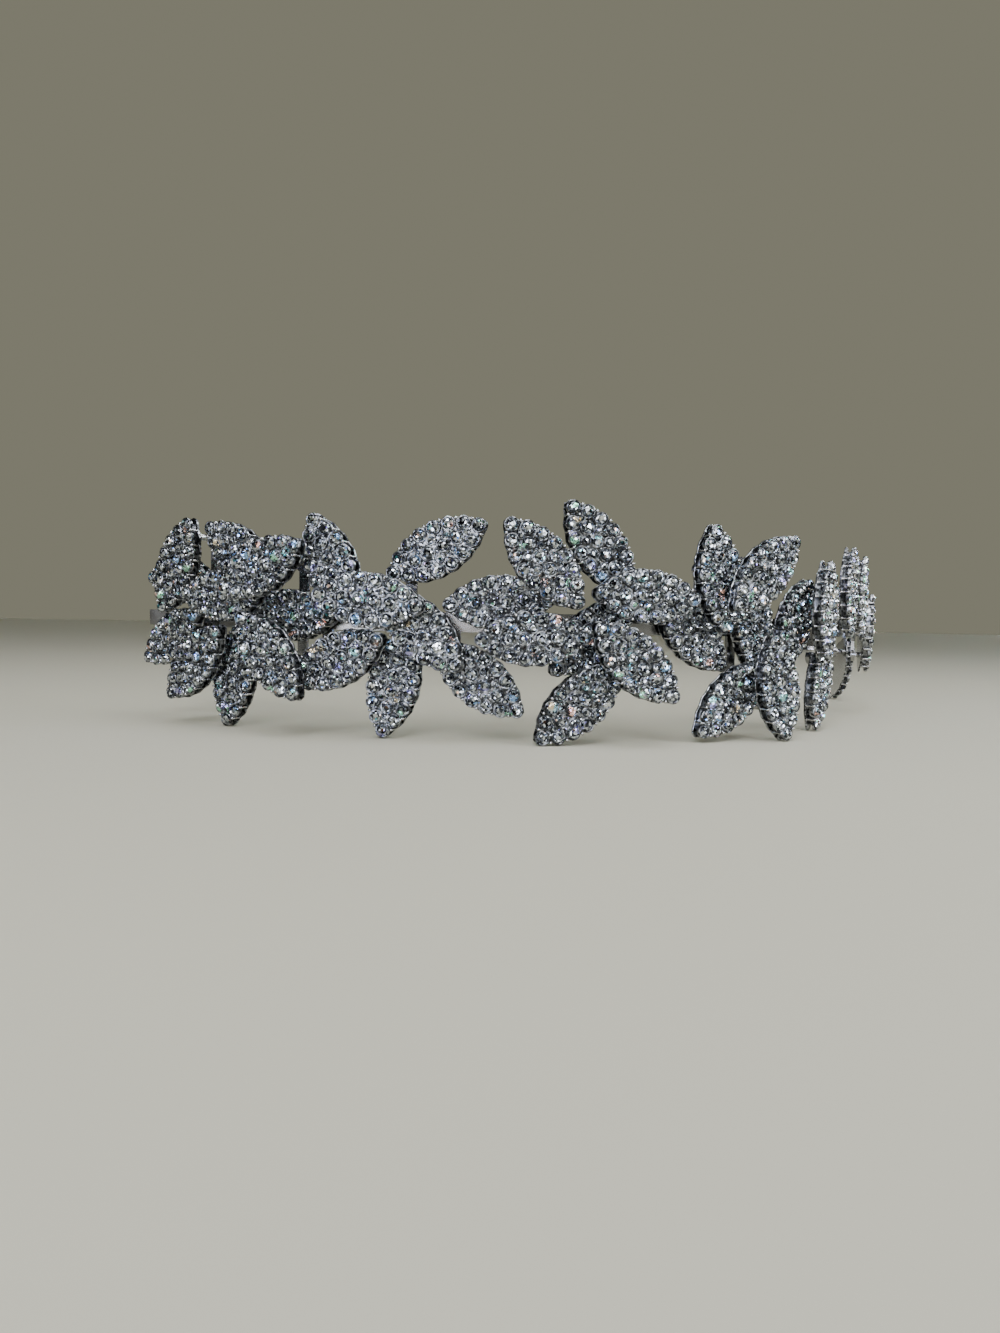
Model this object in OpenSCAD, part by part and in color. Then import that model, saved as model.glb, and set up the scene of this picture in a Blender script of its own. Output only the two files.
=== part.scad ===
// Diadem of leaf settings: a narrow open band that carries 38 pointed leaves, each paved with cut stones.
// Millimetres. Z is up and the leaves' lowest tips stand on Z = 0. The middle of the band faces -Y with its
// inner face at X = Y = 0, and its opening faces +Y.

/* [Band] */

// Inner diameter of the band, as wide as a head
head_d = 176; // [170:1:184]
// Angle of the ring that the band goes round
band_arc = 150; // [144:1:156]
// Height of the band
band_h = 3.2; // [2.6:0.1:3.8]
// Thickness of the band
band_t = 0.9; // [0.8:0.05:1]

/* [Leaves] */

// Length of a leaf from tip to tip
leaf_l = 18.2; // [17.4:0.1:18.6]
// Width of a leaf as a share of its length
leaf_plump = 0.495; // [0.47:0.005:0.5]
// Thickness of the plate under the stones
plate_t = 1.1; // [1:0.05:1.2]
// Depth of a stone's seat above the plate
seat_h = 0.9; // [0.8:0.05:1]
// Height of a stone's table above the top of its seat
table_rise = 0.35; // [0.25:0.05:0.4]

/* [Fit] */

// Gap between a piece and the one that it sits in
fit_gap = 0.1; // [0.1:0.01:0.12]
// Gap between the band and the backs of the nearer leaves
back_gap = 0.3; // [0.25:0.05:0.4]
// Gap between the stones of one layer of leaves and the backs of the next
layer_gap = 0.85; // [0.8:0.05:1]

/* [Hidden] */

// One row for each leaf, from the left end of the band to its right end.
// along, up: place of the middle, in leaf lengths from the middle of the band
// stands: 1 for a leaf whose tip stands on the ground, so its height follows from that
// toward: angle of the leaf's tip, 0 is to the right and 90 is up
// layer: 0 for the leaves next to the band, 1 and 2 for the ones over them
// turn: angle by which the leaf turns out of the ring, its right side outwards
// post: place of its post, in leaf lengths from its middle toward its tip
ALONG = 0;
UP = 1;
STANDS = 2;
TOWARD = 3;
LAYER = 4;
TURN = 5;
POST = 6;
LEAVES = [
    [-5.04, -0.20, 0, -150, 0, 10, -0.28],
    [-4.90,  0.38, 0,  176, 0,  8, -0.28],
    [-4.68,  0.50, 0,   66, 1, 10,  0.32],
    [-4.41, -0.43, 0, -135, 1,  6,  0.10],
    [-4.06,  0.21, 0,  178, 1,  4,  0.15],
    [-4.10,  0.00, 1,  -99, 0,  6, -0.28],
    [-3.98,  0.60, 0,  143, 0,  6, -0.05],
    [-3.47,  0.45, 0,   25, 2,  0,  0.15],
    [-3.39, -0.32, 0,  -49, 2,  0,  0.05],
    [-3.42,  0.04, 0,  178, 0,  0, -0.10],
    [-2.90,  0.47, 0,  112, 1,  0,  0.10],
    [-2.50,  0.17, 0,  174, 2,  0,  0.10],
    [-2.84, -0.35, 0, -155, 1,  0,  0.28],
    [-2.39,  0.00, 1, -102, 0,  0, -0.28],
    [-2.02,  0.63, 0,   29, 0,  0, -0.28],
    [-2.12, -0.07, 0,  137, 1,  0, -0.05],
    [-1.64, -0.50, 0,  -38, 0,  0, -0.28],
    [-1.47,  0.18, 0, -176, 0,  0, -0.28],
    [-1.19, -0.13, 0, -178, 1,  0,  0.05],
    [-1.11,  0.51, 0,  132, 1,  0,  0.15],
    [-0.80,  0.00, 1, -138, 1,  0, -0.28],
    [-0.65, -0.11, 0, -138, 0,  0, -0.28],
    [-0.60,  0.67, 0,  127, 0,  0, -0.28],
    [-0.23,  0.25, 0,   -2, 1,  0,  0.05],
    [-0.38, -0.32, 0,  -41, 2,  0,  0.00],
    [ 0.30, -0.06, 0,  -43, 0,  0, -0.28],
    [ 0.46,  0.42, 0,  100, 1,  0,  0.10],
    [ 0.63, -0.66, 0, -140, 1,  0, -0.28],
    [ 1.01,  0.04, 0,  -82, 0,  0, -0.10],
    [ 0.80,  0.48, 0,   43, 2,  0,  0.16],
    [ 1.00,  0.00, 1,  -77, 2,  0,  0.20],
    [ 1.63,  0.04, 0,   64, 0,  0, -0.28],
    [ 1.81,  0.17, 0,   91, 1, 12, -0.38],
    [ 2.05,  0.00, 1, -108, 0,  8, -0.28],
    [ 2.86,  0.40, 0,   90, 0,  4, -0.28],
    [ 3.52,  0.36, 0,   88, 0,  0, -0.28],
    [ 4.10, -0.05, 0,  105, 0,  8, -0.28],
    [ 5.85,  0.00, 1,  -65, 0,  8, -0.28],
];

// The leaf's outline is the overlap of two wide circles, with its tips cut round by a third
leaf_w = leaf_l * leaf_plump;
tip_blunt = leaf_l * 0.02;
side_l = leaf_l / 2 + tip_blunt;
side_r = (side_l * side_l + leaf_w * leaf_w / 4) / leaf_w;
side_off = side_r - leaf_w / 2;
slab_h = plate_t + seat_h;

// The stones stand in a ring along the edge and in a row down the middle
STONES_PER_SIDE = 6;
ROW = [-1.5, -0.5, 0.5, 1.5];
edge_in = leaf_l * 0.0715;
tip_x = leaf_l / 2 - edge_in;
ring_y = leaf_w / 2 - edge_in;
ring_r = (tip_x * tip_x + ring_y * ring_y) / (2 * ring_y);
ring_half = asin(tip_x / ring_r);
stone_pitch = 2 * ring_half / 180 * PI * ring_r / (STONES_PER_SIDE + 1);
stone_d = 0.82 * stone_pitch;
seat_d = stone_d + 2 * fit_gap;
row_pitch = leaf_l / 7;
row_seats = [for (k = ROW) [k * row_pitch, 0]];
side_seats = [
    for (side = [-1, 1]) for (k = [1:STONES_PER_SIDE])
        let (a = ring_half * (1 - 2 * k / (STONES_PER_SIDE + 1)))
            [ring_r * sin(a), side * (ring_r * cos(a) - ring_r + ring_y)]
];
tip_seats = [[-tip_x, 0], [tip_x, 0]];

// Radii and heights round the ring
band_r = head_d / 2;
back_r = band_r + band_t + back_gap;
layer_step = slab_h + table_rise + layer_gap;
skirt = 1.045 * leaf_l;
leaf_turn = leaf_l / back_r * 180 / PI;

// Posts and what holds them
post_r = 0.6;
post_in = 0.5;
riser_w = 1.8;
riser_in = 0.13;
pad_r = 1.45;
pad_in = 0.22;
pad_out = 0.1;

function leaf_az(leaf) = leaf[ALONG] * leaf_turn;

// How far the leaf's lowest point lies below its middle when it points down toward its tip
tip_y = (side_r * side_r - leaf_l * leaf_l / 4 - side_off * side_off) / (2 * side_off);
tip_corner = sqrt(leaf_l * leaf_l / 4 - tip_y * tip_y);
function drop(lean) = max(
    tip_corner * cos(lean) + tip_y * sin(lean),
    lean > 90 - asin(side_l / side_r) ? side_r - side_off * sin(lean) : 0
);
function leaf_z(leaf) = leaf[STANDS] == 1 ? drop(abs(leaf[TOWARD] + 90)) : skirt + leaf[UP] * leaf_l;

// A leaf that turns out of the ring is lifted so that its inner side keeps its distance
function leaf_lift(leaf) = leaf[LAYER] * layer_step
    + (leaf_l / 2 * abs(cos(leaf[TOWARD])) + 0.4 * leaf_w * abs(sin(leaf[TOWARD]))) * abs(sin(leaf[TURN]));

// The post's foot on the leaf's back: azimuth, height and distance from the axis
function post_side(leaf) = leaf[POST] * leaf_l * cos(leaf[TOWARD]) * cos(leaf[TURN]);
function post_out(leaf) =
    back_r + leaf_lift(leaf) - leaf[POST] * leaf_l * cos(leaf[TOWARD]) * sin(leaf[TURN]);
function post_az(leaf) = leaf_az(leaf) + atan2(post_side(leaf), post_out(leaf));
function post_z(leaf) = leaf_z(leaf) + leaf[POST] * leaf_l * sin(leaf[TOWARD]);
function post_far(leaf) = norm([post_side(leaf), post_out(leaf)]);

function leaf_name(n) = str("leaf_", n < 9 ? "0" : "", n + 1);

$fn = 48;

METAL = [0.74, 0.75, 0.77];
STONE = [0.88, 0.90, 0.94];

// Puts the band's axis behind the middle of its inner face
module behind_front() {
    translate([0, band_r, 0]) children();
}

// Puts a leaf that lies flat in its own plane on its place round the ring
module on_ring(leaf) {
    rotate([0, 0, leaf_az(leaf)])
        translate([0, -back_r - leaf_lift(leaf), leaf_z(leaf)])
            rotate([0, 0, leaf[TURN]]) rotate([90, 0, 0]) rotate([0, 0, leaf[TOWARD]]) children();
}

// A rod that points out from the axis at a leaf's post, between two distances from the axis
module post_rod(leaf, r, from, to) {
    rotate([0, 0, post_az(leaf)]) translate([0, -from, post_z(leaf)])
        rotate([90, 0, 0]) cylinder(r = r, h = to - from);
}

// A flat bar from the band's middle to a leaf's post, with a round pad at the post
module riser(leaf) {
    rotate([0, 0, post_az(leaf)])
        translate([-riser_w / 2, -band_r - band_t + riser_in, min(skirt, post_z(leaf))])
            cube([riser_w, band_t - 2 * riser_in, abs(skirt - post_z(leaf))]);
    post_rod(leaf, pad_r, band_r + pad_in, band_r + band_t + pad_out);
}

module band() {
    color(METAL) difference() {
        union() {
            rotate([0, 0, -90 - band_arc / 2]) rotate_extrude(angle = band_arc)
                translate([band_r, skirt - band_h / 2]) square([band_t, band_h]);
            for (leaf = LEAVES) riser(leaf);
        }
        for (leaf = LEAVES) post_rod(leaf, post_r + fit_gap, band_r - 1, band_r + band_t + 1);
    }
}

module leaf_plate() {
    difference() {
        linear_extrude(slab_h) intersection() {
            translate([0, -side_off]) circle(r = side_r);
            translate([0, side_off]) circle(r = side_r);
            circle(d = leaf_l);
        }
        for (seat = concat(row_seats, side_seats, tip_seats))
            translate([seat.x, seat.y, plate_t]) cylinder(d = seat_d, h = seat_h + 1);
    }
}

// Eight facets under the girdle and eight over it, with a flat table
module cut_stone() {
    rotate_extrude($fn = 8) polygon([
        [0, plate_t + fit_gap],
        [stone_d / 2, slab_h],
        [stone_d * 0.28, slab_h + table_rise],
        [0, slab_h + table_rise],
    ]);
}

module leaf(leaf) {
    color(METAL) union() {
        on_ring(leaf) leaf_plate();
        post_rod(leaf, post_r, band_r + fit_gap, post_far(leaf) + post_in);
    }
    color(STONE) on_ring(leaf) for (seat = row_seats) translate([seat.x, seat.y, 0]) cut_stone();
}

behind_front() band();
for (n = [0:len(LEAVES) - 1])
    behind_front() leaf(LEAVES[n]);
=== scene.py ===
"""Diadem of paved leaves: each leaf node gets an open gallery setting with collared stones and beads."""
import math
import random

import bpy
from mathutils import Matrix, Vector


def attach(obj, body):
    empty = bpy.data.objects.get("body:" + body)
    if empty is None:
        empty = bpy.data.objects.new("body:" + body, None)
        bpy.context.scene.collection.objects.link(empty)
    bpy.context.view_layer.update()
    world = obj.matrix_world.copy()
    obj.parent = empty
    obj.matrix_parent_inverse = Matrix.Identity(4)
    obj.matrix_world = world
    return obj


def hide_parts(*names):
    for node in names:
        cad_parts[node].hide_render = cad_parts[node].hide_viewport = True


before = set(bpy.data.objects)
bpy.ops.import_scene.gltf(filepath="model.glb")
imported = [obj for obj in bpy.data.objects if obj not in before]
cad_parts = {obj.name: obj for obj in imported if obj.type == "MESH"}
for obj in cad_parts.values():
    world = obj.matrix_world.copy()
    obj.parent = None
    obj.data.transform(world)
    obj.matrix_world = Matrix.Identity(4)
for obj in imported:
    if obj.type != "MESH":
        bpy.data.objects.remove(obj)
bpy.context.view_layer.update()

MM = 0.001

# Band and leaves, in millimetres and leaf lengths, as in the part's source
BAND_R = 88.0
BAND_T = 0.9
BACK_GAP = 0.3
LEAF_L = 18.2
LEAF_W = LEAF_L * 0.495
PLATE_T = 1.1
SEAT_H = 0.9
TABLE_RISE = 0.35
LAYER_GAP = 0.85
SLAB_H = PLATE_T + SEAT_H
BACK_R = BAND_R + BAND_T + BACK_GAP
LAYER_STEP = SLAB_H + TABLE_RISE + LAYER_GAP
SKIRT = 1.045 * LEAF_L
LEAF_TURN = math.degrees(LEAF_L / BACK_R)
POST_R = 0.6
FIT_GAP = 0.1

# The band's axis, as seen from the origin at the middle of its inner face
AXIS = Vector((0, BAND_R, 0))

# One row for each leaf: along, up, stands, toward, layer, turn and post, as in the part's source
LEAVES = [
    (-5.04, -0.20, 0, -150, 0, 10, -0.28),
    (-4.90, 0.38, 0, 176, 0, 8, -0.28),
    (-4.68, 0.50, 0, 66, 1, 10, 0.32),
    (-4.41, -0.43, 0, -135, 1, 6, 0.10),
    (-4.06, 0.21, 0, 178, 1, 4, 0.15),
    (-4.10, 0.00, 1, -99, 0, 6, -0.28),
    (-3.98, 0.60, 0, 143, 0, 6, -0.05),
    (-3.47, 0.45, 0, 25, 2, 0, 0.15),
    (-3.39, -0.32, 0, -49, 2, 0, 0.05),
    (-3.42, 0.04, 0, 178, 0, 0, -0.10),
    (-2.90, 0.47, 0, 112, 1, 0, 0.10),
    (-2.50, 0.17, 0, 174, 2, 0, 0.10),
    (-2.84, -0.35, 0, -155, 1, 0, 0.28),
    (-2.39, 0.00, 1, -102, 0, 0, -0.28),
    (-2.02, 0.63, 0, 29, 0, 0, -0.28),
    (-2.12, -0.07, 0, 137, 1, 0, -0.05),
    (-1.64, -0.50, 0, -38, 0, 0, -0.28),
    (-1.47, 0.18, 0, -176, 0, 0, -0.28),
    (-1.19, -0.13, 0, -178, 1, 0, 0.05),
    (-1.11, 0.51, 0, 132, 1, 0, 0.15),
    (-0.80, 0.00, 1, -138, 1, 0, -0.28),
    (-0.65, -0.11, 0, -138, 0, 0, -0.28),
    (-0.60, 0.67, 0, 127, 0, 0, -0.28),
    (-0.23, 0.25, 0, -2, 1, 0, 0.05),
    (-0.38, -0.32, 0, -41, 2, 0, 0.00),
    (0.30, -0.06, 0, -43, 0, 0, -0.28),
    (0.46, 0.42, 0, 100, 1, 0, 0.10),
    (0.63, -0.66, 0, -140, 1, 0, -0.28),
    (1.01, 0.04, 0, -82, 0, 0, -0.10),
    (0.80, 0.48, 0, 43, 2, 0, 0.16),
    (1.00, 0.00, 1, -77, 2, 0, 0.20),
    (1.63, 0.04, 0, 64, 0, 0, -0.28),
    (1.81, 0.17, 0, 91, 1, 12, -0.38),
    (2.05, 0.00, 1, -108, 0, 8, -0.28),
    (2.86, 0.40, 0, 90, 0, 4, -0.28),
    (3.52, 0.36, 0, 88, 0, 0, -0.28),
    (4.10, -0.05, 0, 105, 0, 8, -0.28),
    (5.85, 0.00, 1, -65, 0, 8, -0.28),
]

# Outline of a leaf: two wide circles, with the tips cut round by a third
TIP_BLUNT = LEAF_L * 0.02
SIDE_L = LEAF_L / 2 + TIP_BLUNT
SIDE_R = (SIDE_L ** 2 + LEAF_W ** 2 / 4) / LEAF_W
SIDE_OFF = SIDE_R - LEAF_W / 2
OUTLINE_STEPS = 56

# Stones in a ring along the edge and in a row down the middle
STONES_PER_SIDE = 6
GAPS_PER_SIDE = STONES_PER_SIDE + 1
EDGE_IN = LEAF_L * 0.0715
TIP_X = LEAF_L / 2 - EDGE_IN
RING_Y = LEAF_W / 2 - EDGE_IN
RING_R = (TIP_X ** 2 + RING_Y ** 2) / (2 * RING_Y)
RING_HALF = math.asin(TIP_X / RING_R)
STONE_PITCH = 2 * RING_HALF * RING_R / GAPS_PER_SIDE
STONE_R = 0.41 * STONE_PITCH
ROW = (-1.5, -0.5, 0.5, 1.5)
ROW_PITCH = LEAF_L / 7

# Smaller stones between the ring and the row, and at the row's ends: place and radius
ACCENTS = [(0, 1.62, 0.70), (0, -1.62, 0.70), (2.50, 1.36, 0.50), (2.50, -1.36, 0.50),
           (-2.50, 1.36, 0.50), (-2.50, -1.36, 0.50), (5.55, 0, 0.50), (-5.55, 0, 0.50)]

# Cut of a stone: facets round it, and sizes as shares of its radius
FACETS = 8
CULET_R = 0.30
PAVILION_H = 0.62
MAIN_R = 0.80
TABLE_R = 0.56
# How far up the mains' corners are, as a share of the way from the girdle to the table
MAIN_UP = 0.62
# Most degrees that a stone leans to a side
STONE_TILT = 5

# Heights in a setting, from the back of its plate
BACK_T = 0.38
TRAY_Z = 1.35
FLOOR_Z = 1.60
COLLAR_Z = SLAB_H - 0.02
GIRDLE_Z = COLLAR_Z - 0.10

# How far the plates and the gallery's wall are drawn in from the leaf's outline
BACK_IN = 0.04
TRAY_IN = 0.80
WALL_FOOT_IN = 1.05
WALL_TOP_IN = 0.95
SCALLOP = 0.18
RIM_BEVEL = 0.08

# How far a piece, or a post, sinks into the plate that carries it
SINK = 0.1
POST_SINK = 0.3
POST_SIDES = 12

# Tubes round the stones: how far they stand out from a stone's girdle, and reach over it
COLLAR_SIDES = 16
COLLAR_OUT = 0.2
COLLAR_OVER = 0.06

# Upright bars: half their width and depth, and distance from the line between two edge stones
PRONG_W = 0.17
PRONG_D = 0.20
PRONG_OUT = 0.85
PRONG_CORNERS = [(-1, -0.6), (-0.6, -1), (0.6, -1), (1, -0.6), (1, 0.6), (0.6, 1), (-0.6, 1), (-1, 0.6)]

# Beads between the stones: range of radii, and of their tops' heights over the seats' upper edge
BEAD_TRIES = 1500
BEAD_SIDES = 6
BEAD_RADII = (0.15, 0.27)
BEAD_HEIGHTS = (-0.18, 0.12)
# Room that a bead leaves at the outline, and share of its radius that it leaves at a stone's girdle
BEAD_EDGE = 0.35
BEAD_OFF_STONE = 0.72

# Photograph's camera: distance from the band's axis in millimetres, focal length in widths of the image
CAMERA_DIST = 212.6
CAMERA_AZ = math.radians(-17)
CAMERA_DOWN = math.radians(3.24)
CAMERA_ROLL = math.radians(1.0)
FOCAL_WIDTHS = 0.769
SENSOR_MM = 36

# Soft panels of light: name, place and width in metres, power in watts
LAMPS = [
    ("key", (-0.22, -0.36, 0.34), 0.25, 1.35),
    ("fill", (0.34, -0.30, 0.24), 0.25, 0.72),
    ("top", (0.0, -0.12, 0.42), 0.35, 0.95),
]
LAMP_AIM = Vector((0, 0, 0.02))

# Half the side of the floor, in millimetres
FLOOR_HALF = 4000

# Materials' places in a setting; the cups' metal is dark with painted shade
METAL, STONE, CUP = 0, 1, 2

# Lowest and highest brightness of the plated metals; the band's darker pair is painted shade
LEAF_METAL = (0.47, 0.58)
BAND_SHADED_METAL = (0.30, 0.40)

# Voronoi cells in a metre: inner facets 0.4 mm across, patches half a stone wide, cells of random tone in the
# cups' painted shade
FACET_CELLS = 2500.0
PATCH_CELLS = 900.0
CUP_CELLS = 2200.0

# Spectral colours painted on the stones' patches as glints of fire, and the share of each of them that shows
SPECTRUM = [
    (0.00, (0.35, 0.60, 1.00)), (0.26, (0.56, 0.54, 1.00)), (0.44, (0.45, 0.92, 1.00)),
    (0.58, (0.48, 1.00, 0.72)), (0.70, (0.95, 0.97, 1.00)), (0.84, (1.00, 0.84, 0.58)),
    (0.92, (1.00, 0.60, 0.50)),
]
SPECTRUM_SHARE = 0.8

# The room that glossy surfaces mirror: gaps, dim panels and bright ones, and coloured parts of them
SURROUND = (0.205, 0.200, 0.150, 1)
PANEL_CELLS = 3.4
PANELS = [
    (0.00, (0.03, 0.03, 0.033)), (0.45, (0.14, 0.14, 0.15)), (0.70, (0.36, 0.36, 0.3744)),
    (0.88, (10.0, 10.0, 10.4)),
]
PART_CELLS = 11.0
PARTS = [
    (0.00, (1.00, 1.00, 1.00)), (0.78, (0.22, 0.45, 1.00)), (0.84, (0.48, 0.38, 1.00)),
    (0.88, (0.30, 1.00, 0.95)), (0.92, (0.38, 1.00, 0.50)), (0.955, (1.00, 0.58, 0.34)),
]


def leaf_drop(lean):
    """How far the lowest point of a leaf lies below its middle, at an angle from straight down."""
    tip_y = (SIDE_R ** 2 - LEAF_L ** 2 / 4 - SIDE_OFF ** 2) / (2 * SIDE_OFF)
    tip_x = math.sqrt(LEAF_L ** 2 / 4 - tip_y ** 2)
    corner = tip_x * math.cos(lean) + tip_y * math.sin(lean)
    on_side = lean > math.pi / 2 - math.asin(SIDE_L / SIDE_R)
    return max(corner, SIDE_R - SIDE_OFF * math.sin(lean) if on_side else 0)


def leaf_matrix(row):
    """Place of a leaf's own plane round the ring, measured from the band's axis."""
    along, up, stands, toward, layer, turn, _ = row
    toward, turn = math.radians(toward), math.radians(turn)
    height = leaf_drop(abs(toward + math.pi / 2)) if stands else SKIRT + up * LEAF_L
    reach = LEAF_L / 2 * abs(math.cos(toward)) + 0.4 * LEAF_W * abs(math.sin(toward))
    out = BACK_R + layer * LAYER_STEP + reach * abs(math.sin(turn))
    azimuth = Matrix.Rotation(math.radians(along * LEAF_TURN), 4, "Z")
    stand = Matrix.Rotation(turn, 4, "Z") @ Matrix.Rotation(math.pi / 2, 4, "X")
    return azimuth @ Matrix.Translation((0, -out, height)) @ stand @ Matrix.Rotation(toward, 4, "Z")


class Mesh:
    """Collects vertices in millimetres from the band's axis, and faces with their material and shading."""

    def __init__(self):
        self.points, self.faces, self.mats, self.smooth = [], [], [], []

    def add(self, points, faces, mat, matrix=None, smooth=False):
        start = len(self.points)
        self.points += [matrix @ Vector(p) if matrix else Vector(p) for p in points]
        self.faces += [[start + i for i in face] for face in faces]
        self.mats += [mat] * len(faces)
        self.smooth += [smooth] * len(faces)

    def rings(self, loops, mat, matrix=None, smooth=False, bottom=True, top=True):
        """A skin over closed loops of equally many points, capped at its ends."""
        n = len(loops[0])
        last = (len(loops) - 1) * n
        points = [p for loop in loops for p in loop]
        faces = []
        for start in range(0, last, n):
            for i in range(n):
                j = (i + 1) % n
                faces.append([start + i, start + j, start + n + j, start + n + i])
        if bottom:
            faces.append(list(reversed(range(n))))
        if top:
            faces.append([last + i for i in range(n)])
        self.add(points, faces, mat, matrix, smooth)

    def build(self, name, materials):
        """The object, in metres from the origin."""
        mesh = bpy.data.meshes.new(name)
        mesh.from_pydata([(p + AXIS) * MM for p in self.points], [], self.faces)
        for material in materials:
            mesh.materials.append(material)
        mesh.polygons.foreach_set("material_index", self.mats)
        mesh.polygons.foreach_set("use_smooth", self.smooth)
        mesh.update()
        piece = bpy.data.objects.new(name, mesh)
        bpy.context.scene.collection.objects.link(piece)
        return piece


def circle(radius, z, count, x=0, y=0, turn=0.0):
    return [(x + radius * math.cos(turn + 2 * math.pi * i / count),
             y + radius * math.sin(turn + 2 * math.pi * i / count), z) for i in range(count)]


def outline(inset, z, scallop=0.0):
    """The leaf's outline, counterclockwise, drawn in by a distance and scalloped between the edge stones."""
    radius, blunt = SIDE_R - inset, LEAF_L / 2 - inset
    tip_y = (radius ** 2 - blunt ** 2 - SIDE_OFF ** 2) / (2 * SIDE_OFF)
    half = math.asin(math.sqrt(blunt ** 2 - tip_y ** 2) / radius)
    points = []
    for side in (1, -1):
        for k in range(OUTLINE_STEPS + 1):
            a = half * (1 - 2 * k / OUTLINE_STEPS) * side
            phase = GAPS_PER_SIDE * (RING_HALF - a * side) / (2 * RING_HALF)
            inside = 0 < phase < GAPS_PER_SIDE
            r = radius - (scallop * abs(math.sin(math.pi * phase)) ** 1.5 if inside else 0)
            points.append((r * math.sin(a), side * (r * math.cos(a) - SIDE_OFF), z))
    return points


def edge_seats():
    """Middles of the ring of stones, in order round the leaf from its tip."""
    seats = []
    for side in (1, -1):
        seats.append((side * TIP_X, 0.0))
        for k in range(1, STONES_PER_SIDE + 1):
            a = RING_HALF * (1 - 2 * k / GAPS_PER_SIDE) * side
            seats.append((RING_R * math.sin(a), side * (RING_R * math.cos(a) - RING_R + RING_Y)))
    return seats


def add_stone(mesh, x, y, radius, rng):
    """Round brilliant with table, stars, mains, upper girdle facets and pavilion, a little out of true."""
    table_z = SLAB_H + TABLE_RISE * radius / STONE_R
    main_z = GIRDLE_Z + MAIN_UP * (table_z - GIRDLE_Z)
    culet = circle(radius * CULET_R, GIRDLE_Z - PAVILION_H * radius, FACETS)
    girdle = circle(radius, GIRDLE_Z, 2 * FACETS)
    mains = circle(radius * MAIN_R, main_z, FACETS, turn=math.pi / FACETS)
    table = circle(radius * TABLE_R, table_z, FACETS)
    girdle_0 = FACETS
    main_0 = girdle_0 + 2 * FACETS
    table_0 = main_0 + FACETS
    faces = [list(reversed(range(FACETS)))]
    for i in range(FACETS):
        i_next, i_last = (i + 1) % FACETS, (i - 1) % FACETS
        g0, g1, g2 = girdle_0 + 2 * i, girdle_0 + 2 * i + 1, girdle_0 + 2 * i_next
        m, m_last = main_0 + i, main_0 + i_last
        t, t_next = table_0 + i, table_0 + i_next
        faces += [[i, i_next, g2, g1, g0], [g0, g1, m], [g1, g2, m], [m_last, g0, m, t], [t, m, t_next]]
    faces.append([table_0 + i for i in range(FACETS)])
    tilt_x, tilt_y = (math.radians(rng.uniform(-STONE_TILT, STONE_TILT)) for _ in range(2))
    lean = Matrix.Rotation(tilt_x, 4, "X") @ Matrix.Rotation(tilt_y, 4, "Y")
    spin = Matrix.Rotation(rng.uniform(0, math.pi), 4, "Z")
    place = Matrix.Translation((x, y, COLLAR_Z)) @ lean @ spin @ Matrix.Translation((0, 0, -COLLAR_Z))
    mesh.add(culet + girdle + mains + table, faces, STONE, place)


def add_collar(mesh, x, y, radius):
    """Short tube round a stone, with its upper edge turned over."""
    outer, inner = radius + COLLAR_OUT, radius - COLLAR_OVER
    profile = [(outer - 0.05, TRAY_Z), (outer, COLLAR_Z - 0.14), (outer - 0.09, COLLAR_Z - 0.02),
               (inner, COLLAR_Z - 0.04), (inner, TRAY_Z)]
    # In the cups' metal, dark with painted shade
    mesh.rings([circle(r, z, COLLAR_SIDES, x, y) for r, z in profile],
               CUP, smooth=True, bottom=False, top=False)


def add_bead(mesh, x, y, z, radius):
    """Small faceted bead on a short stem, whose rings are turned by an angle that comes from its place."""
    mesh.rings([circle(radius * 0.8, FLOOR_Z - SINK, BEAD_SIDES, x, y),
                circle(radius, z - radius * 0.7, BEAD_SIDES, x, y, x),
                circle(radius * 0.5, z, BEAD_SIDES, x, y, y)], STONE, bottom=False)


def add_prong(mesh, x, y, turn, rng):
    """Upright bar of the open gallery, from the back plate up to a thick end by two stones' edges."""
    wide = PRONG_W + rng.uniform(-0.02, 0.02)
    top = SLAB_H + rng.uniform(0.02, 0.10)
    matrix = Matrix.Translation((x, y, 0)) @ Matrix.Rotation(turn, 4, "Z")
    # Height and relative size at each level
    levels = [(BACK_T - SINK, 1.25), (BACK_T + 0.15, 0.95), (1.4, 0.95), (top - 0.2, 1.3), (top, 0.75)]
    mesh.rings([[(cx * wide * f, cy * PRONG_D * f, z) for cx, cy in PRONG_CORNERS] for z, f in levels],
               METAL, matrix, smooth=True, bottom=False)


def add_plate(mesh, z0, z1, inset, scallop, back):
    """Plate with a bevelled rim and top in the cups' metal, dark with painted shade, and a material of its
    own on its back.
    """
    low = outline(inset + RIM_BEVEL, z0, scallop)
    mesh.rings([low, outline(inset, z0 + RIM_BEVEL, scallop), outline(inset, z1 - RIM_BEVEL, scallop),
                outline(inset + RIM_BEVEL, z1, scallop)], CUP, bottom=False)
    mesh.add(low, [list(reversed(range(len(low))))], back)


def add_beads(mesh, stones, rng):
    """Small beads of crystal that fill the room between the stones."""
    placed = []
    for _ in range(BEAD_TRIES):
        x, y = rng.uniform(-LEAF_L / 2, LEAF_L / 2), rng.uniform(-LEAF_W / 2, LEAF_W / 2)
        radius = rng.uniform(*BEAD_RADII)
        edge = min(SIDE_R - math.hypot(x, y + SIDE_OFF), SIDE_R - math.hypot(x, y - SIDE_OFF))
        if edge < BEAD_EDGE + radius or math.hypot(x, y) > LEAF_L / 2 - BEAD_EDGE - radius:
            continue
        if any(math.hypot(x - sx, y - sy) < sr + radius * BEAD_OFF_STONE for sx, sy, sr in stones):
            continue
        if any(math.hypot(x - px, y - py) < pr + radius for px, py, pr in placed):
            continue
        placed.append((x, y, radius))
        add_bead(mesh, x, y, SLAB_H + rng.uniform(*BEAD_HEIGHTS), radius)


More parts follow.
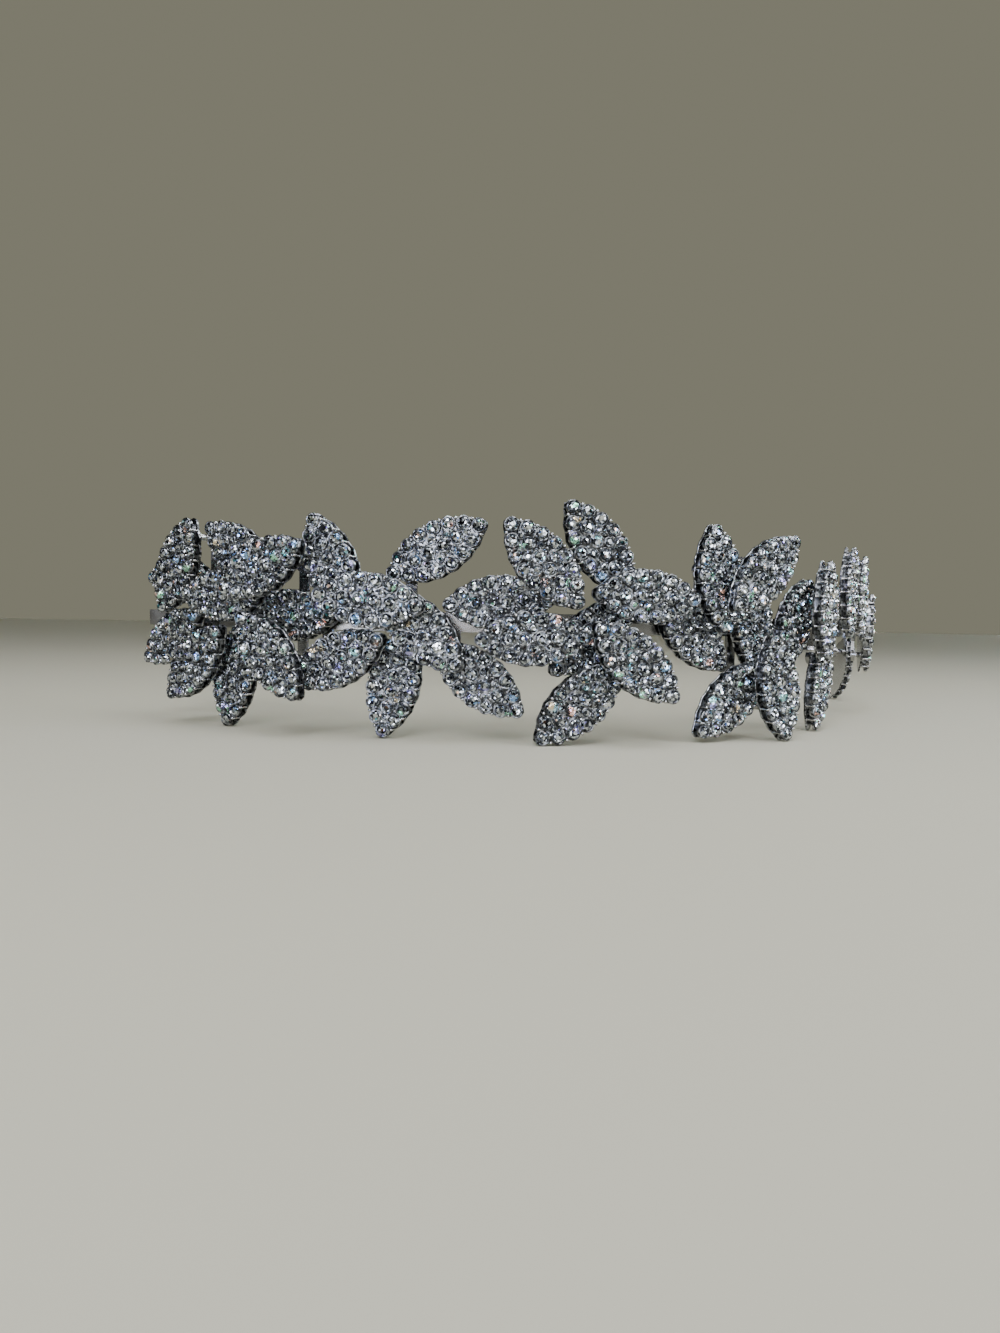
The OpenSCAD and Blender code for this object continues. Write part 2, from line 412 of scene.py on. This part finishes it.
def add_post(mesh, post, matrix):
    """Hidden post from the plate's back to the band."""
    foot = matrix @ Vector((post * LEAF_L, 0, 0))
    inward = Vector((foot.x, foot.y, 0)).normalized()
    start, end = inward * (BAND_R + FIT_GAP), inward * (math.hypot(foot.x, foot.y) + POST_SINK)
    across, up = Vector((-inward.y, inward.x, 0)), Vector((0, 0, 1))
    angles = [2 * math.pi * i / POST_SIDES for i in range(POST_SIDES)]
    mesh.rings([[base + across * POST_R * math.cos(a) + up * (foot.z + POST_R * math.sin(a))
                 for a in angles] for base in (start, end)], METAL, smooth=True)


def leaf_piece(number, row, materials):
    """One leaf's setting with its stones, on its place round the ring, and its post."""
    rng = random.Random(number)
    setting = Mesh()
    add_plate(setting, 0, BACK_T, BACK_IN, SCALLOP, METAL)
    add_plate(setting, TRAY_Z, FLOOR_Z, TRAY_IN, 0, CUP)
    # Wall of the gallery, behind its bars, in the cups' metal, dark with painted shade
    setting.rings([outline(WALL_FOOT_IN, BACK_T - SINK), outline(WALL_TOP_IN, TRAY_Z + SINK)],
                  CUP, bottom=False, top=False)
    ring = edge_seats()
    row_seats = [(k * ROW_PITCH, 0.0) for k in ROW]
    stones = [(x, y, STONE_R) for x, y in ring + row_seats] + ACCENTS
    for x, y, radius in stones:
        add_collar(setting, x, y, radius)
        add_stone(setting, x, y, radius, rng)
    for (x, y), (next_x, next_y) in zip(ring, ring[1:] + ring[:1]):
        turn = math.atan2(next_y - y, next_x - x)
        middle_x, middle_y = (x + next_x) / 2, (y + next_y) / 2
        add_prong(setting, middle_x + PRONG_OUT * math.sin(turn), middle_y - PRONG_OUT * math.cos(turn),
                  turn, rng)
    add_beads(setting, stones, rng)
    matrix = leaf_matrix(row)
    setting.points = [matrix @ p for p in setting.points]
    add_post(setting, row[-1], matrix)
    piece = setting.build(f"setting_{number:02d}", materials)
    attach(piece, "root")
    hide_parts(f"leaf_{number:02d}")


def set_inputs(tree, node, inputs):
    """Sets a node's inputs, and links those that are given as another node's output."""
    for key, value in inputs.items():
        if isinstance(value, bpy.types.NodeSocket):
            tree.links.new(value, node.inputs[key])
        else:
            node.inputs[key].default_value = value


def add_node(tree, kind, inputs=None, **settings):
    node = tree.nodes.new("ShaderNode" + kind)
    for key, value in settings.items():
        setattr(node, key, value)
    set_inputs(tree, node, inputs or {})
    return node


def add_ramp(tree, fac, stops, interpolation="LINEAR"):
    """Colours between stops of a position and a colour."""
    node = add_node(tree, "ValToRGB", {"Fac": fac})
    ramp = node.color_ramp
    ramp.interpolation = interpolation
    for k, (position, colour) in enumerate(stops):
        stop = ramp.elements[k] if k < 2 else ramp.elements.new(position)
        stop.position = position
        stop.color = (*colour, 1)
    return node.outputs["Color"]


def add_cells(tree, where, scale):
    """Voronoi cells: the random colour of each, and its three parts."""
    colour = add_node(tree, "TexVoronoi", {"Vector": where, "Scale": scale}).outputs["Color"]
    return colour, add_node(tree, "SeparateColor", {"Color": colour}).outputs


def add_mix(tree, factor, a, b, **settings):
    node = add_node(tree, "Mix", {"Factor": factor, "A": a, "B": b}, data_type="RGBA", **settings)
    return node.outputs["Result"]


def new_material(name):
    """A material, its node tree, its shader and the object's coordinates."""
    material = bpy.data.materials.new(name)
    material.use_nodes = True
    tree = material.node_tree
    return material, tree, tree.nodes["Principled BSDF"], add_node(tree, "TexCoord").outputs["Object"]


def cool_grey(level):
    return level, level * 1.01, level * 1.03


def white_metal(name, low, high):
    """Plated metal with a faint cast unevenness, between two brightnesses."""
    material, tree, shader, where = new_material(name)
    noise = add_node(tree, "TexNoise", {"Vector": where, "Scale": 260.0, "Detail": 3.0}).outputs["Fac"]
    rough = add_node(tree, "MapRange", {"Value": noise, "To Min": 0.14, "To Max": 0.30})
    bump = add_node(tree, "Bump", {"Height": noise, "Strength": 0.10, "Distance": 0.05 * MM})
    set_inputs(tree, shader, {
        "Base Color": add_ramp(tree, noise, [(0.35, cool_grey(low)), (0.65, cool_grey(high))]),
        "Metallic": 1.0,
        "Roughness": rough.outputs["Result"],
        "Normal": bump.outputs["Normal"],
    })
    return material


def cup_metal_painted_shade():
    """Metal of the cups, between the stones, darkened by painted shade of these recesses, in cells of random
    tone.
    """
    material, tree, shader, where = new_material("cup_metal_painted_shade")
    _, part = add_cells(tree, where, CUP_CELLS)
    set_inputs(tree, shader, {
        # Near black up to mid grey: the darkness is painted shade between the stones and in the gallery's
        # windows
        "Base Color": add_ramp(tree, part["Red"], [(0.3, (0.045, 0.047, 0.051)), (1.0, (0.50, 0.52, 0.55))]),
        "Metallic": 1.0,
        "Roughness": 0.28,
    })
    return material


def cut_crystal():
    """Foiled crystal: each small inner facet mirrors another way and is painted bright or dark, as a painted
    glint or painted shade, and a few carry a painted glint of coloured fire.
    """
    material, tree, shader, where = new_material("cut_crystal")

    # Each inner facet's normal leans by the random colour of its cell
    facet, facet_part = add_cells(tree, where, FACET_CELLS)
    # Painted sparkle: each facet's colour runs from near black to near white, as a painted glint or painted
    # shade
    painted_sparkle = add_ramp(tree, facet_part["Green"], [(0.25, (0.045, 0.051, 0.064)), (0.90, (0.87, 0.93, 1.0))])
    lean = add_node(tree, "VectorMath", {0: facet, 1: (0.5, 0.5, 0.5)}, operation="SUBTRACT")
    normal = add_node(tree, "NewGeometry").outputs["Normal"]
    leant = add_node(tree, "VectorMath", {0: normal, 1: lean.outputs["Vector"]}, operation="ADD")
    unit = add_node(tree, "VectorMath", {0: leant.outputs["Vector"]}, operation="NORMALIZE")

    # A few of the wider patches carry a painted glint of spectral fire, and are less sharp, so that it shows
    # all around
    _, patch_part = add_cells(tree, where, PATCH_CELLS)
    painted_fire = add_ramp(tree, patch_part["Blue"], SPECTRUM, "CONSTANT")
    chosen = add_node(tree, "MapRange", {
        "Value": patch_part["Red"], "From Min": 0.90, "From Max": 0.93, "To Max": SPECTRUM_SHARE,
    }).outputs["Result"]
    rough = add_node(tree, "MapRange", {
        "Value": chosen, "From Max": SPECTRUM_SHARE, "To Min": 0.05, "To Max": 0.16,
    })
    set_inputs(tree, shader, {
        "Base Color": add_mix(tree, chosen, painted_sparkle, painted_fire),
        "Metallic": 1.0,
        "Roughness": rough.outputs["Result"],
        "Normal": unit.outputs["Vector"],
    })
    return material


def pale_floor():
    """Matt cream board with a hardly visible mottle, and a painted shade that makes it a little darker far
    from the object, as the lamps' light falls off.
    """
    material, tree, shader, where = new_material("pale_floor")
    noise = add_node(tree, "TexNoise", {"Vector": where, "Scale": 6.0}).outputs["Fac"]
    board = add_ramp(tree, noise, [(0.0, (0.66, 0.65, 0.565)), (1.0, (0.70, 0.69, 0.605))])
    # Painted shade: the board darkens with distance from a point in front of the object, as though less lamp
    # light reached it
    distance = add_node(tree, "VectorMath", {0: where, 1: (0, -0.30, 0)}, operation="DISTANCE")
    far = add_node(tree, "MapRange", {
        "Value": distance.outputs["Value"], "From Min": 0.36, "From Max": 0.85,
    }, interpolation_type="SMOOTHSTEP")
    set_inputs(tree, shader, {
        "Base Color": add_mix(tree, far.outputs["Result"], board, (0.62, 0.61, 0.54, 1)),
        "Roughness": 0.8,
        "Specular IOR Level": 0.2,
    })
    return material


def add_floor():
    floor = Mesh()
    corners = [(x * FLOOR_HALF, y * FLOOR_HALF, 0) for x, y in ((-1, -1), (1, -1), (1, 1), (-1, 1))]
    floor.add(corners, [[0, 1, 2, 3]], 0)
    piece = floor.build("floor", [pale_floor()])


def add_world():
    """Dim warm surround, and for glossy surfaces a room of bright panels and dark gaps to mirror."""
    world = bpy.data.worlds.new("studio")
    bpy.context.scene.world = world
    world.use_nodes = True
    tree = world.node_tree
    surround = tree.nodes["Background"]
    set_inputs(tree, surround, {"Color": SURROUND, "Strength": 1.0})
    where = add_node(tree, "TexCoord").outputs["Generated"]
    _, panel = add_cells(tree, where, PANEL_CELLS)
    _, part = add_cells(tree, where, PART_CELLS)
    panels = add_ramp(tree, panel["Red"], PANELS, "CONSTANT")
    parts = add_ramp(tree, part["Green"], PARTS, "CONSTANT")
    room = add_node(tree, "Background", {"Color": add_mix(tree, 1.0, panels, parts, blend_type="MULTIPLY")})
    mix = add_node(tree, "MixShader", {
        "Fac": add_node(tree, "LightPath").outputs["Is Glossy Ray"],
        1: surround.outputs["Background"],
        2: room.outputs["Background"],
    })
    set_inputs(tree, tree.nodes["World Output"], {"Surface": mix.outputs["Shader"]})


def add_light(name, place, size, power):
    """Soft panel aimed at the middle of the front."""
    lamp = bpy.data.lights.new(name, "AREA")
    lamp.size = size
    lamp.energy = power
    thing = bpy.data.objects.new(name, lamp)
    thing.location = place
    thing.rotation_euler = (LAMP_AIM - Vector(place)).to_track_quat("-Z", "Y").to_euler()
    bpy.context.scene.collection.objects.link(thing)


def add_camera():
    camera = bpy.data.cameras.new("camera")
    camera.sensor_fit = "HORIZONTAL"
    camera.sensor_width = SENSOR_MM
    camera.lens = SENSOR_MM * FOCAL_WIDTHS
    camera.clip_start = 5 * MM
    ahead = Vector((-math.sin(CAMERA_AZ), math.cos(CAMERA_AZ), 0))
    right = Vector((ahead.y, -ahead.x, 0))
    forward = ahead * math.cos(CAMERA_DOWN) - Vector((0, 0, 1)) * math.sin(CAMERA_DOWN)
    up = right.cross(forward)
    rolled_right = right * math.cos(CAMERA_ROLL) + up * math.sin(CAMERA_ROLL)
    rolled_up = up * math.cos(CAMERA_ROLL) - right * math.sin(CAMERA_ROLL)
    thing = bpy.data.objects.new("camera", camera)
    turn = Matrix((rolled_right, rolled_up, -forward)).transposed()
    place = (AXIS - ahead * CAMERA_DIST + Vector((0, 0, SKIRT))) * MM
    thing.matrix_world = Matrix.Translation(place) @ turn.to_4x4()
    bpy.context.scene.collection.objects.link(thing)
    bpy.context.scene.camera = thing


add_camera()
setting_materials = [white_metal("white_metal", *LEAF_METAL), cut_crystal(), cup_metal_painted_shade()]
for number, row in enumerate(LEAVES, 1):
    leaf_piece(number, row, setting_materials)
band = bpy.data.objects["band"]
band.data.materials.clear()
# The band's plated metal, made darker as painted shade
band.data.materials.append(white_metal("band_metal_painted_shade", *BAND_SHADED_METAL))
add_floor()
add_world()
for lamp in LAMPS:
    add_light(*lamp)
